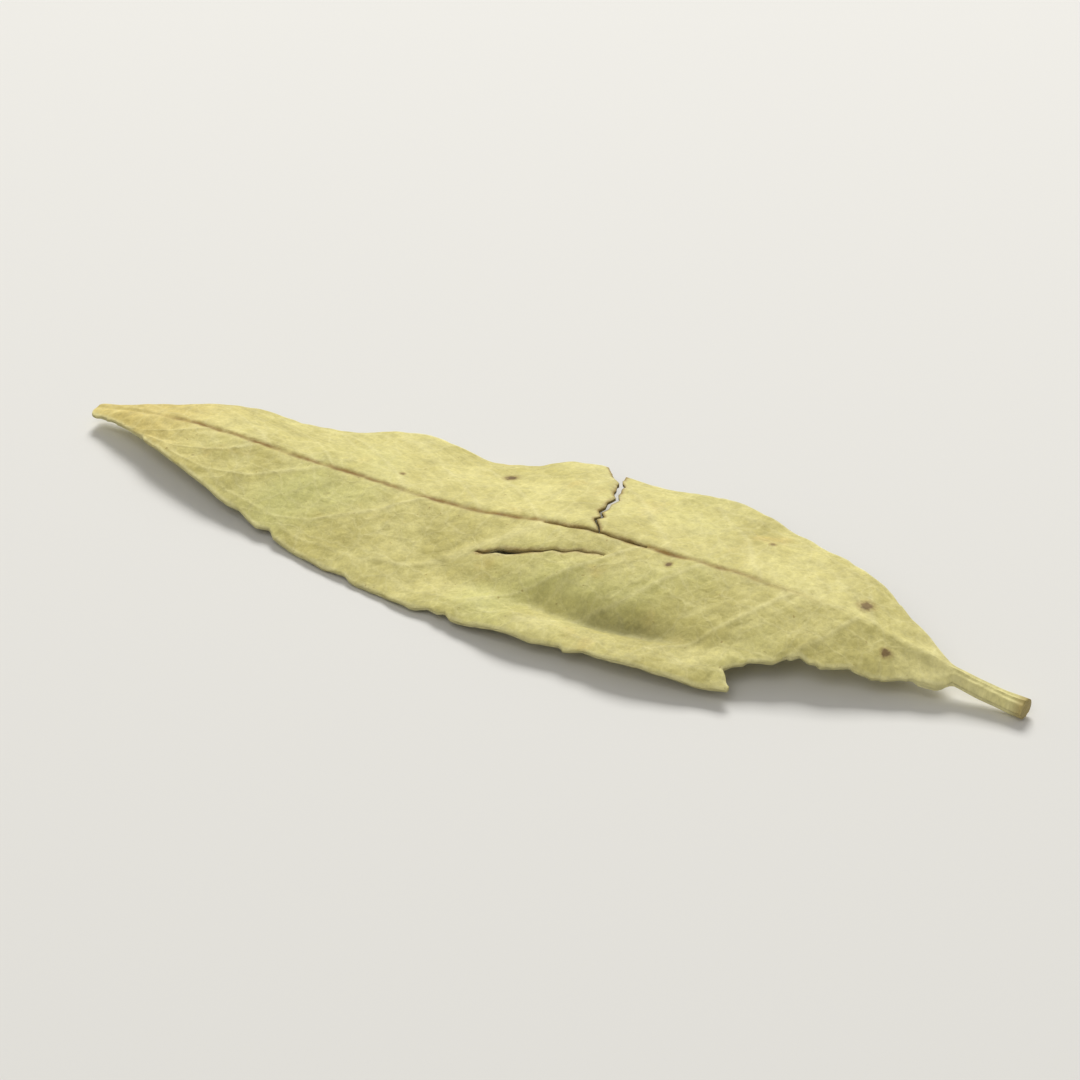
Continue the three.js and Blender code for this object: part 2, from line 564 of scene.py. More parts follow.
    def upper_relief(self, at: Points) -> Array:
        """Raise the upper face.

        The midrib lies in a groove, which gives way to a raised fold at the base. The side veins stand up a
        little, the fields between them sag by the pillow, and wrinkles and grain cover the rest.

        Args:
            at: The points.

        Returns:
            The height, up from the plain face.
        """
        vein, phase = self.vein_map(at)
        fading = 1.0 - smooth_step(at.along, *self.groove_end)
        groove = self.groove_depth * bell(at.out, 0.0, self.groove_half_width) * fading
        fold = self.fold_height * bell(at.out, 0.0, self.fold_half_width)
        fold = fold * smooth_step(at.along, *self.fold_start)
        grain = self.wrinkles.at(at.along, at.out) + self.upper_grain.at(at.along, at.out)
        net = self.upper_vein_height * vein + self.pillow_height * self.pillow(at, phase)
        return fold - groove + net + grain

    def lower_relief(self, at: Points) -> Array:
        """Raise the lower face.

        The midrib stands out as a bell of the distance from it that grows towards the base, the side veins
        stand out less, and the wrinkles are those of the upper face seen from behind.

        Args:
            at: The points.

        Returns:
            The height, down from the plain face.
        """
        vein, phase = self.vein_map(at)
        growth = np.clip(at.along / self.blade_length, 0.0, 1.0) * (1.0 - self.shares(at) ** 2)
        rib = self.rib_height * growth * bell(at.out, 0.0, self.rib_half_width)
        grain = self.lower_grain.at(at.along, at.out) - self.wrinkles.at(at.along, at.out)
        return rib + self.lower_vein_height * vein - self.pillow_height * self.pillow(at, phase) + grain

    def offset(self, face: Face, at: Points) -> Array:
        """Work out how far a face stands from the middle surface: half the thickness and the face's relief.

        Args:
            face: Upper or lower.
            at: The points.

        Returns:
            The signed offset, upwards positive.
        """
        relief = self.upper_relief if face is Face.UPPER else self.lower_relief
        raised = mix(relief(at), self.stalk_relief(at, face), self.stalk_share(at.along))
        return (self.half_thickness(at) + raised) * face.value


@dataclass(frozen=True)
class CrossCrack:
    """The crack from the far margin to the midrib.

    Attributes:
        shares: Its path from the midrib out, as shares of the half width.
        along: The distances from the tip there.
        width_shares: Shares at which its width is given.
        widths: Its widths.
        rag: Unevenness of its path.
        rag_span: Length that the unevenness is laid out on, from midrib to margin.
        rag_end: Share of the half width at which it ends.
        reach: How far the bending of the grid's lines reaches.
        near_reach: How far it reaches into the near half, as a share.
        gap_reach: How far the opening pushes the lines aside.
        lift: How far the lip on the tip's side stands up at the margin.
        lift_reach: How far along the leaf that lift fades.
        lift_power: How quickly it grows towards the margin.
    """

    shares: tuple[float, ...] = (0.0, 0.07, 0.15, 0.21, 0.3, 0.37, 0.45, 0.55, 0.62, 0.7, 0.78, 0.84, 1.0)
    along: tuple[float, ...] = (
        21.4, 21.15, 20.82, 20.84, 20.5, 20.54, 20.36, 20.46, 20.1, 19.98, 19.94, 19.58, 19.1
    )
    width_shares: tuple[float, ...] = (0.0, 0.1, 0.45, 0.72, 0.9, 1.0)
    widths: tuple[float, ...] = (0.05, 0.11, 0.15, 0.2, 0.42, 0.72)
    rag: Ripples = Ripples(0.04, 0.95, 61, 9)
    rag_span: float = 5.0
    rag_end: float = 0.9
    reach: float = 1.7
    near_reach: float = 0.12
    gap_reach: float = 0.6
    lift: float = 0.12
    lift_reach: float = 2.2
    lift_power: float = 1.5


@dataclass(frozen=True)
class VeinSlit:
    """The narrow slit along a side vein of the near half.

    Attributes:
        along: Its path from the tip's side, as distances from the tip.
        shares: The shares of the half width there.
        widths: Its widths there.
        rag: Unevenness of its path.
        reach: How far, as a share, the bending of the grid's rows reaches.
        gap_cells: How many cells its opening pushes the rows aside over.
        fade: How far past its ends that bending fades.
    """

    along: tuple[float, ...] = (17.5, 18.2, 18.8, 19.4, 20.3, 21.2, 22.2)
    shares: tuple[float, ...] = (0.385, 0.36, 0.335, 0.305, 0.25, 0.215, 0.18)
    widths: tuple[float, ...] = (0.02, 0.24, 0.24, 0.13, 0.07, 0.06, 0.01)
    rag: Ripples = Ripples(0.006, 0.8, 62, 9)
    reach: float = 0.17
    gap_cells: float = 2.0
    fade: float = 2.5


@dataclass(frozen=True)
class MidribCrack:
    """The hairline crack along the midrib.

    Attributes:
        start: Distance from the tip at which it starts.
        end: Distance at which it ends.
        wander: Unevenness of its path.
        reach: How far, as a share, the bending of the grid's rows reaches.
        fade: How far past its ends that bending fades.
    """

    start: float = 19.2
    end: float = 23.3
    wander: Ripples = Ripples(0.03, 1.1, 77)
    reach: float = 0.08
    fade: float = 1.0


@dataclass(frozen=True)
class TornMargin:
    """The torn stretch of near margin: a short edge across the blade, then a long one to the stalk.

    Attributes:
        across_shares: Path of the short edge from its inner end out, as shares of the half width.
        across_along: The distances from the tip there.
        along: Path of the long edge, as distances from the tip.
        left: What is left of the half width there.
        least_left: The least share of the half width that may be left.
        reach: How far the bending of the grid's lines reaches.
        inner_reach: How far it reaches inwards, as a share.
        lead: How far before the long edge the rows start to draw in.
        whole_before: How far before the tear the margin has its last chip.
        rag: Unevenness of the long edge.
    """

    across_shares: tuple[float, ...] = (0.72, 0.755, 0.82, 0.87, 0.93, 0.97, 1.0)
    across_along: tuple[float, ...] = (29.0, 28.75, 28.4, 28.62, 28.8, 29.0, 28.95)
    along: tuple[float, ...] = (
        28.9, 29.3, 29.8, 30.1, 30.5, 31.2, 31.7, 31.9, 32.4, 33.3, 33.6, 34.1, 34.9, 35.6
    )
    left: tuple[float, ...] = (
        3.45, 3.2, 3.0, 2.62, 2.42, 2.4, 2.22, 2.0, 1.85, 1.62, 1.4, 1.12, 0.88, 0.46
    )
    least_left: float = 0.3
    reach: float = 1.3
    inner_reach: float = 0.2
    lead: float = 0.6
    whole_before: float = 1.2
    rag: Ripples = Ripples(0.03, 0.45, 55, 13)


@dataclass
class LeafGrid:
    """The leaf's grid of lines, bent so that cracks and torn margins lie on lines of it.

    Attributes:
        shape: The leaf's shape.
        lines: Cells along the leaf.
        rows: Cells across it, an odd number so that one row lies on the midrib.
        stalk_line: Share of the lines at which the stalk starts.
        stalk_start: Distance of that line from the tip.
        skew: How far the lines lean towards the tip at the margin.
        chip_power: How steeply a chip fades inwards, as a power of the share.
        chip_limit: Half width over the deepest chip that it may have, which keeps the rows from crossing.
        cross_crack: The crack from the far margin.
        vein_slit: The slit in the near half.
        midrib_crack: The hairline on the midrib.
        torn: The torn stretch of near margin.
        base: Distances of the lines from the tip, at the midrib.
        along: Distances of the grid's points from the tip.
        share: Their signed shares of the half width.
        kept: Which of the cells are left, by line and row.
        points: The finished points.
    """

    shape: LeafShape
    lines: int = 430
    rows: int = 111
    stalk_line: float = 0.955
    stalk_start: float = 35.9
    skew: float = 2.3
    chip_power: int = 10
    chip_limit: float = 12.0
    cross_crack: CrossCrack = CrossCrack()
    vein_slit: VeinSlit = VeinSlit()
    midrib_crack: MidribCrack = MidribCrack()
    torn: TornMargin = TornMargin()
    base: Array = field(init=False)
    along: Array = field(init=False)
    share: Array = field(init=False)
    kept: Array = field(init=False)
    points: Points = field(init=False)

    def __post_init__(self) -> None:
        """Lay the lines out, bend them on to the damage and mark the cells that are left."""
        self.share = np.linspace(-1.0, 1.0, self.rows + 1)[None, :] * np.ones((self.lines + 1, 1))
        side = np.where(self.share < 0, -1.0, 1.0)
        place = np.linspace(0.0, 1.0, self.lines + 1)
        self.base = np.interp(place, [0.0, self.stalk_line, 1.0], [0.0, self.stalk_start, self.shape.length])
        lean = 4.0 * place * np.clip(1.0 - place / self.stalk_line, 0.0, 1.0)
        self.along = self.base[:, None] - self.skew * lean[:, None] * np.abs(self.share)
        self.kept = np.ones((self.lines, self.rows), bool)
        cross, lift = self.open_cross_crack()
        torn = self.tear_margin()
        cracks = np.minimum.reduce([cross, self.open_vein_slit(), self.open_midrib_crack()])
        crack = np.clip(cracks, 0.0, self.shape.length)
        width = self.shape.half_width(self.along, side)
        chips = np.minimum(self.chips(side), width / self.chip_limit) * np.abs(self.share) ** self.chip_power
        out = self.share * width - side * chips
        edge = np.maximum(np.minimum.reduce([width - chips - np.abs(out), torn, crack]), 0.0)
        self.points = Points(self.along, out, side, edge, crack, lift)

    def open_cross_crack(self) -> tuple[Array, Array]:
        """Bend two neighbouring lines on to the lips of the crack and drop the cells between them.

        A line moves by the distance from the crack's line to the crack's path, times a bell of its own
        distance from the crack, and then by half of the gap, fading with distance.

        Returns:
            Each point's distance from the crack, and how far the crack's lip lifts it.
        """
        crack, base, share = self.cross_crack, self.base, self.share
        first = int(np.searchsorted(base, crack.along[0])) - 1
        middle = (self.along[first] + self.along[first + 1]) / 2.0
        far = share[first] >= 0
        reach = np.clip(share[first], 0.0, 1.0)
        rag = crack.rag.on_line(reach * crack.rag_span) * (far & (reach < crack.rag_end))
        path = np.interp(reach, crack.shares, crack.along) + rag
        shift = (path - middle) * np.where(far, 1.0, bell(share[first], 0.0, crack.near_reach))
        cell = base[first + 1] - base[first]
        gap = np.where(far, np.interp(reach, crack.width_shares, crack.widths), cell)
        distance = base[:, None] - (base[first] + base[first + 1]) / 2.0
        opening = np.exp(-np.abs(distance) / crack.gap_reach) * np.sign(distance)
        self.along = self.along + shift * bell(distance, 0.0, crack.reach)
        self.along = self.along + (gap - cell) / 2.0 * opening
        self.kept[first, self.rows // 2 + 1 :] = False
        before = np.exp(np.minimum(distance, 0.0) / crack.lift_reach) * (distance < 0)
        lift = crack.lift * before * np.clip(share, 0.0, 1.0) ** crack.lift_power
        return np.where(far, np.abs(self.along - path) - gap / 2.0, np.inf), lift

    def tear_margin(self) -> Array:
        """Bend a line on to the tear's short edge and a row on to its long one, and drop the corner there.

        Points inside the row are drawn in evenly towards the midrib, so that the row lies on what is left of
        the half width, and points outside it are spread over the rest.

        Returns:
            Each point's distance from the torn edges.
        """
        torn, share = self.torn, self.share
        near = share < 0
        row = int(np.argmin(np.abs(share[0] + torn.across_shares[0])))
        knee = -share[0, row]
        reach = np.clip(-share[0], 0.0, 1.0)
        path = np.interp(reach, torn.across_shares, torn.across_along)
        first = int(np.argmin(np.abs(self.along[:, row // 2] - path[row // 2])))
        inner = bell(np.minimum(reach - knee, 0.0), 0.0, torn.inner_reach) * near[0]
        near_line = bell(self.base[:, None] - self.base[first], 0.0, torn.reach)
        moved = self.along + (path - self.along[first]) * inner * near_line
        width = self.shape.half_width(moved, np.where(near, -1.0, 1.0))
        left = np.interp(moved, torn.along, torn.left) + torn.rag.on_line(moved)
        past = smooth_step(moved, torn.along[0] - torn.lead, torn.along[0])
        end = np.clip(mix(knee, np.minimum(left / width, 1.0), past), torn.least_left, 1.0)
        size = np.abs(share)
        spread = end + (size - knee) * (1.0 - end) / (1.0 - knee)
        drawn = np.where(size <= knee, size * end / knee, spread)
        number = np.arange(self.lines + 1)[:, None]
        long_edge = np.where(number >= first, (end - drawn) * width, np.inf)
        short_edge = np.where((number <= first) & (reach > knee), path - moved, np.inf)
        self.kept[first:, :row] = False
        self.along = moved
        self.share = np.where(near, -drawn, share)
        return np.where(near, np.minimum(long_edge, short_edge), np.inf)

    def open_vein_slit(self) -> Array:
        """Bend two neighbouring rows of the near half on to the slit's lips and drop the cells between them.

        Returns:
            Each point's distance from the slit.
        """
        slit, share = self.vein_slit, self.share
        start, end = slit.along[0], slit.along[-1]
        first = int(np.searchsorted(share[0], -float(np.mean(slit.shares)))) - 1
        middle = (share[0, first] + share[0, first + 1]) / 2.0
        cell = share[0, first + 1] - share[0, first]
        here = self.along[:, first]
        fade = plateau(here, (start - slit.fade, start), (end, end + slit.fade))
        path = slit.rag.on_line(here) - np.interp(here, slit.along, slit.shares)
        width = self.shape.half_width(here, np.full_like(here, -1.0))
        open_here = (here > start) & (here < end)
        gap = np.where(open_here, np.interp(here, slit.along, slit.widths) / width, cell)
        distance = share - middle
        moved = share + ((path - middle) * fade)[:, None] * bell(distance, 0.0, slit.reach)
        opening = np.exp(-np.abs(distance) / (slit.gap_cells * cell)) * np.sign(distance)
        self.share = moved + ((gap - cell) / 2.0)[:, None] * opening
        self.kept[open_here[:-1] & open_here[1:], first] = False
        beyond = (np.abs(self.share - path[:, None]) - gap[:, None] / 2.0) * width[:, None]
        return np.where(open_here[:, None], beyond, np.inf)

    def open_midrib_crack(self) -> Array:
        """Let the middle row wander along the midrib and drop its cells where the blade has cracked.

        Returns:
            Each point's distance from the crack.
        """
        crack = self.midrib_crack
        row = self.rows // 2
        here = self.along[:, row]
        open_here = (here > crack.start) & (here < crack.end)
        width = self.shape.half_width(here, np.ones_like(here))
        fade = plateau(here, (crack.start - crack.fade, crack.start), (crack.end, crack.end + crack.fade))
        wander = crack.wander.on_line(here) / width * fade
        self.share = self.share + wander[:, None] * bell(self.share, 0.0, crack.reach)
        self.kept[open_here[:-1] & open_here[1:], row] = False
        return np.where(open_here[:, None], np.abs(self.share * width[:, None]), np.inf)

    def chips(self, side: Array) -> Array:
        """Chip the margin of each half, but not the stalk or the near margin past the tear.

        Args:
            side: Sign of the half.

        Returns:
            Depth of the chips at each point's distance from the tip.
        """
        shape, along = self.shape, self.along
        whole = along < self.torn.along[0] - self.torn.whole_before
        near = shape.near.nicks.at(along, shape.blade_length) * whole
        far = shape.far.nicks.at(along, shape.blade_length)
        return np.where(side < 0, near, far) * (1.0 - shape.stalk_share(along))


@dataclass
class Leaf:
    """The leaflet: one closed mesh that stands for the frame's plain leaf.

    Attributes:
        shape: The leaf's shape.
        roll: Turn about the leaf's length at which it rests, in degrees.
        pitch: Turn about its width at which it rests, in degrees.
    """

    shape: LeafShape = field(default_factory=LeafShape)
    roll: float = 2.96
    pitch: float = 0.22

    def rest(self, points: Array, low: Vector, high: Vector) -> Array:
        """Turn the points to the resting attitude and bring them to the frame's size and place.

        Args:
            points: Places in the leaf's own millimetres.
            low: Lowest corner of the frame's leaf, in metres.
            high: Its highest corner.

        Returns:
            The places in metres, with the box centred on the frame's and the lowest point on its floor.
        """
        a, b = np.radians(self.roll), np.radians(self.pitch)
        roll = np.array([[1, 0, 0], [0, np.cos(a), -np.sin(a)], [0, np.sin(a), np.cos(a)]])
        pitch = np.array([[np.cos(b), 0, np.sin(b)], [0, 1, 0], [-np.sin(b), 0, np.cos(b)]])
        placed = points @ (roll @ pitch).T * ((high.x - low.x) / self.shape.length)
        lowest, highest = placed.min(axis=0), placed.max(axis=0)
        move = (np.array(low) + np.array(high) - lowest - highest) / 2.0
        move[2] = low.z - lowest[2]
        return placed + move

    def build(self, low: Vector, high: Vector) -> bpy.types.Object:
        """Make the leaf's mesh, with the values that its finish reads.

        Args:
            low: Lowest corner of the frame's leaf, in metres.
            high: Its highest corner.

        Returns:
            The leaf, at the origin, with its place in its mesh.
        """
        grid = LeafGrid(self.shape)
        at = grid.points
        x, y, z = self.shape.middle_surface(at)
        faces = [np.stack([x, y, z + self.shape.offset(face, at)], axis=-1).reshape(-1, 3) for face in Face]
        points = self.rest(np.concatenate(faces), low, high)
        quads, rim = closed_quads(grid.kept)
        vein, phase = self.shape.vein_map(at)
        named = {
            "lane": phase, "along": at.along, "out": at.out, "edge": at.edge, "crack": at.crack, "vein": vein
        }
        values = {name: np.tile(numbers.ravel(), 2) for name, numbers in named.items()}
        values["under"] = np.repeat([0.0, 1.0], at.along.size)
        return mesh_piece("dried_senna_leaf", points, quads, ~rim, values)


def closed_quads(kept: Array) -> tuple[Array, Array]:
    """Join an upper and a lower grid into one closed skin.

    Every kept cell gives a quad on each grid. Every grid edge with a kept cell on one side only gives an
    upright quad that joins the two grids, facing away from the kept cell.

    Args:
        kept: Which cells are there, by line and row.

    Returns:
        The quads as point numbers, and which of them belong to the rim.
    """
    lines, rows = kept.shape
    number = np.arange((lines + 1) * (rows + 1)).reshape(lines + 1, rows + 1)
    under = number.size
    i, j = np.nonzero(kept)
    upper = np.stack([number[i, j], number[i + 1, j], number[i + 1, j + 1], number[i, j + 1]], axis=1)
    lower = upper[:, ::-1] + under
    padded = np.pad(kept, 1).astype(int)
    across = np.diff(padded, axis=1)[1:-1]
    lengthways = np.diff(padded, axis=0)[:, 1:-1]
    rims = []
    for change, step in ((across, (1, 0)), (lengthways, (0, 1))):
        for sign in (1, -1):
            i, j = np.nonzero(change == sign)
            first, second = number[i, j], number[i + step[0], j + step[1]]
            if (sign > 0) != (step[0] > 0):
                first, second = second, first
            rims.append(np.stack([first + under, second + under, second, first], axis=1))
    rim = np.concatenate(rims)
    quads = np.concatenate([upper, lower, rim])
    return quads, np.arange(len(quads)) >= len(quads) - len(rim)


def mesh_piece(
    name: str, points: Array, quads: Array, smooth: Array, values: dict[str, Array]
) -> bpy.types.Object:
    """Put points and quads into a mesh with named values at its points.

    Args:
        name: Name of the piece.
        points: Places in metres.
        quads: Point numbers of each quad.
        smooth: Which quads are shaded smooth.
        values: Named numbers, one for each point.

    Returns:
        The linked object.
    """
    used = np.unique(quads)
    renumber = np.zeros(len(points), int)
    renumber[used] = np.arange(len(used))
    corners = renumber[quads].ravel()
    mesh = bpy.data.meshes.new(name)
    mesh.vertices.add(len(used))
    mesh.vertices.foreach_set("co", points[used].ravel())
    mesh.loops.add(len(corners))
    mesh.loops.foreach_set("vertex_index", corners)
    mesh.polygons.add(len(quads))
    mesh.polygons.foreach_set("loop_start", np.arange(0, len(corners), 4))
    mesh.polygons.foreach_set("use_smooth", smooth)
    for key, numbers in values.items():
        mesh.attributes.new(key, "FLOAT", "POINT").data.foreach_set("value", numbers[used])
    mesh.update(calc_edges=True)
    mesh.validate()
    piece = bpy.data.objects.new(name, mesh)
    bpy.context.scene.collection.objects.link(piece)
    return piece


class Signal:
    """A shader output that Python's operators work on: each operator adds the Math node that it names."""

    def __init__(self, shader: Shader, socket: bpy.types.NodeSocket) -> None:
        """Keep the shader and the output socket."""
        self.shader = shader
        self.socket = socket

    def maths(self, operation: str, *terms: Operand) -> Signal:
        """Add a Math node that works on these terms in order."""
        return self.shader.node("ShaderNodeMath", {"operation": operation}, dict(enumerate(terms)))

    def __add__(self, other: Operand) -> Signal:
        """The sum."""
        return self.maths("ADD", self, other)

    __radd__ = __add__

    def __sub__(self, other: Operand) -> Signal:
        """The difference."""
        return self.maths("SUBTRACT", self, other)

    def __rsub__(self, other: Operand) -> Signal:
        """The difference, from the other."""
        return self.maths("SUBTRACT", other, self)

    def __mul__(self, other: Operand) -> Signal:
        """The product."""
        return self.maths("MULTIPLY", self, other)

    __rmul__ = __mul__

    def __truediv__(self, other: Operand) -> Signal:
        """The quotient."""
        return self.maths("DIVIDE", self, other)

    def __rtruediv__(self, other: Operand) -> Signal:
        """The quotient, of the other."""
        return self.maths("DIVIDE", other, self)

    def __pow__(self, other: Operand) -> Signal:
        """The power."""
        return self.maths("POWER", self, other)

    def __rpow__(self, other: Operand) -> Signal:
        """The power, of the other."""
        return self.maths("POWER", other, self)

    def __abs__(self) -> Signal:
        """The size without its sign."""
        return self.maths("ABSOLUTE", self)

    def most(self, other: Operand) -> Signal:
        """The larger of the two."""
        return self.maths("MAXIMUM", self, other)

    def step(self, low: float, high: float) -> Signal:
        """Smooth rise from 0 at low to 1 at high; low may be the larger."""
        sockets = {"Value": self, "From Min": low, "From Max": high}
        return self.shader.node("ShaderNodeMapRange", {"interpolation_type": "SMOOTHSTEP"}, sockets)

    def bell(self, middle: float, reach: float) -> Signal:
        """Bell curve of height 1 about middle: e to the minus square of the distance over reach."""
        offset = (self - middle) / reach
        return np.e ** (offset * offset * -1.0)


Operand = Union[Signal, float]
Colour = tuple[float, float, float]


def linear(red: int, green: int, blue: int) -> Colour:
    """Turn a colour of 0 to 255 into linear light: ((c + 0.055) / 1.055) to the power 2.4."""
    return tuple(((c / 255.0 + 0.055) / 1.055) ** 2.4 for c in (red, green, blue))


class Shader:
    """The node tree of one material."""

    def __init__(self, name: str) -> None:
        """Start a material with an empty tree."""
        self.material = bpy.data.materials.new(name)
        self.material.use_nodes = True
        self.tree = self.material.node_tree
        self.tree.nodes.clear()

    def node(
        self,
        kind: str,
        settings: dict[str, Any] | None = None,
        sockets: dict[str | int, Any] | None = None,
        output: str | int = 0,
    ) -> Signal | None:
        """Add a node.

        Args:
            kind: The node's type.
            settings: Its own settings, which are set first.
            sockets: Values or signals for its inputs, by name or number.
            output: Which of its outputs to give back.

        Returns:
            That output, or None where the node has no outputs.
        """
        node = self.tree.nodes.new(kind)
        for key, value in (settings or {}).items():
            setattr(node, key, value)
        for key, value in (sockets or {}).items():
            if isinstance(value, Signal):
                self.tree.links.new(value.socket, node.inputs[key])
            elif isinstance(value, tuple) and node.inputs[key].type == "RGBA":
                node.inputs[key].default_value = (*value, 1.0)
            else:
                node.inputs[key].default_value = value
        return Signal(self, node.outputs[output]) if len(node.outputs) else None

    def value(self, name: str) -> Signal:
        """Read a named value of the mesh."""
        return self.node("ShaderNodeAttribute", {"attribute_name": name}, output="Fac")

    def noise(
        self, places: Signal, size: float, detail: float = 3.0, roughness: float = 0.5, output: str = "Fac"
    ) -> Signal:
        """Noise from 0 to 1 with features of about this size, in the units of the places."""
        sockets = {"Vector": places, "Scale": 1.0 / size, "Detail": detail, "Roughness": roughness}
        return self.node("ShaderNodeTexNoise", {"noise_dimensions": "3D"}, sockets, output)

    def cells(self, places: Signal, size: float, feature: str) -> Signal:
        """Lay out cells.

        Args:
            places: Where to read them.
            size: Their typical size, in the units of the places.
            feature: Which distance to read, F1 for that from the middle of a cell.

        Returns:
            The distance, over the size.
        """
        settings = {"voronoi_dimensions": "3D", "feature": feature}
        sockets = {"Vector": places, "Scale": 1.0 / size}
        return self.node("ShaderNodeTexVoronoi", settings, sockets, "Distance")

    def blend(self, start: Signal | Colour, end: Signal | Colour, share: Operand) -> Signal:
        """Mix two colours by share."""
        return self.node("ShaderNodeMix", {"data_type": "RGBA"}, {0: share, 6: start, 7: end}, 2)

    def scale(self, colour: Signal, factor: Operand) -> Signal:
        """Multiply a colour or a vector by a factor."""
        return self.vector_maths("SCALE", {0: colour, "Scale": factor})

    def vector_maths(self, operation: str, sockets: dict[str | int, Any]) -> Signal:
        """Work on vectors or colours."""
        return self.node("ShaderNodeVectorMath", {"operation": operation}, sockets)

    def vector(self, x: Operand, y: Operand, z: Operand) -> Signal:
        """Join three numbers."""
        return self.node("ShaderNodeCombineXYZ", sockets={0: x, 1: y, 2: z})

    def finish(self, sockets: dict[str, Any]) -> bpy.types.Material:
        """Close the tree with a Principled surface.

        Args:
            sockets: Values or signals for the surface's inputs.

        Returns:
            The finished material.
        """
        surface = self.node("ShaderNodeBsdfPrincipled", sockets=sockets)
        self.node("ShaderNodeOutputMaterial", sockets={"Surface": surface})
        return self.material


@dataclass(frozen=True)
class Patches:
    """Soft patches of noise.

    Attributes:
        size: Their typical size.
        detail: How finely they are broken up.
        roughness: How strong the fine parts are.
        low: Noise at which a patch begins.
        high: Noise at which it is full.
        strength: How strong it is there.
    """

    size: float
    detail: float
    roughness: float
    low: float
    high: float
    strength: float

    def over(self, leaf: LeafPlaces) -> Signal:
        """Spread the patches over the leaf."""
        noise = leaf.shader.noise(leaf.places, self.size, self.detail, self.roughness)
        return noise.step(self.low, self.high) * self.strength


@dataclass(frozen=True)
class Speck:
    """A dark speck: its distances from the tip and from the midrib, its radius and its darkness."""

    along: float
    out: float
    radius: float
    darkness: float


class LeafPlaces:
    """Places and values on the leaf that its finish reads, in millimetres where they are lengths."""

    wobble_size: float = 0.2
    warp_scale: float = 2.2
    warp_strength: float = 0.35
    fine_cells: float = 0.62
    coarse_cells: float = 1.5
    lane_stretch: float = 7.0
    face_distance: float = 3.0

    def __init__(self, shader: Shader) -> None:
        """Read the mesh's values and lay the shared patterns out on them.

        Args:
            shader: The material's tree.
        """
        self.shader = shader
        self.along = shader.value("along")
        self.out = shader.value("out")
        self.edge = shader.value("edge")
        self.crack = shader.value("crack")
        self.vein = shader.value("vein")
        self.under = shader.value("under")
        self.places = shader.vector(self.along, self.out, self.under * self.face_distance)
        self.wobble = shader.noise(self.places, self.wobble_size, 3.0, 0.6) - 0.5
        self.warped = self.warp()
        walls = shader.cells(self.warped, self.fine_cells, "DISTANCE_TO_EDGE")
        coarse = shader.cells(self.warped, self.coarse_cells, "DISTANCE_TO_EDGE")
        self.fields = walls.step(0.0, 0.4)
        self.network = coarse.step(0.05, 0.0).most(walls.step(0.08, 0.0) * 0.6)
        lanes = shader.vector(shader.value("lane") * self.lane_stretch, abs(self.out) * 0.5, self.under)
        self.streaks = shader.noise(lanes, 1.0, 4.0, 0.6).step(0.3, 0.7)

    def warp(self) -> Signal:
        """Push the places about a little, so that cell walls don't run straight.

        Returns:
            The pushed places.
        """
        push = self.shader.noise(self.places, 1.0 / self.warp_scale, 2.0, output="Color")
        centred = self.shader.vector_maths("SUBTRACT", {0: push, 1: (0.5, 0.5, 0.5)})
        return self.shader.vector_maths(
            "ADD", {0: self.places, 1: self.shader.scale(centred, self.warp_strength)}
        )


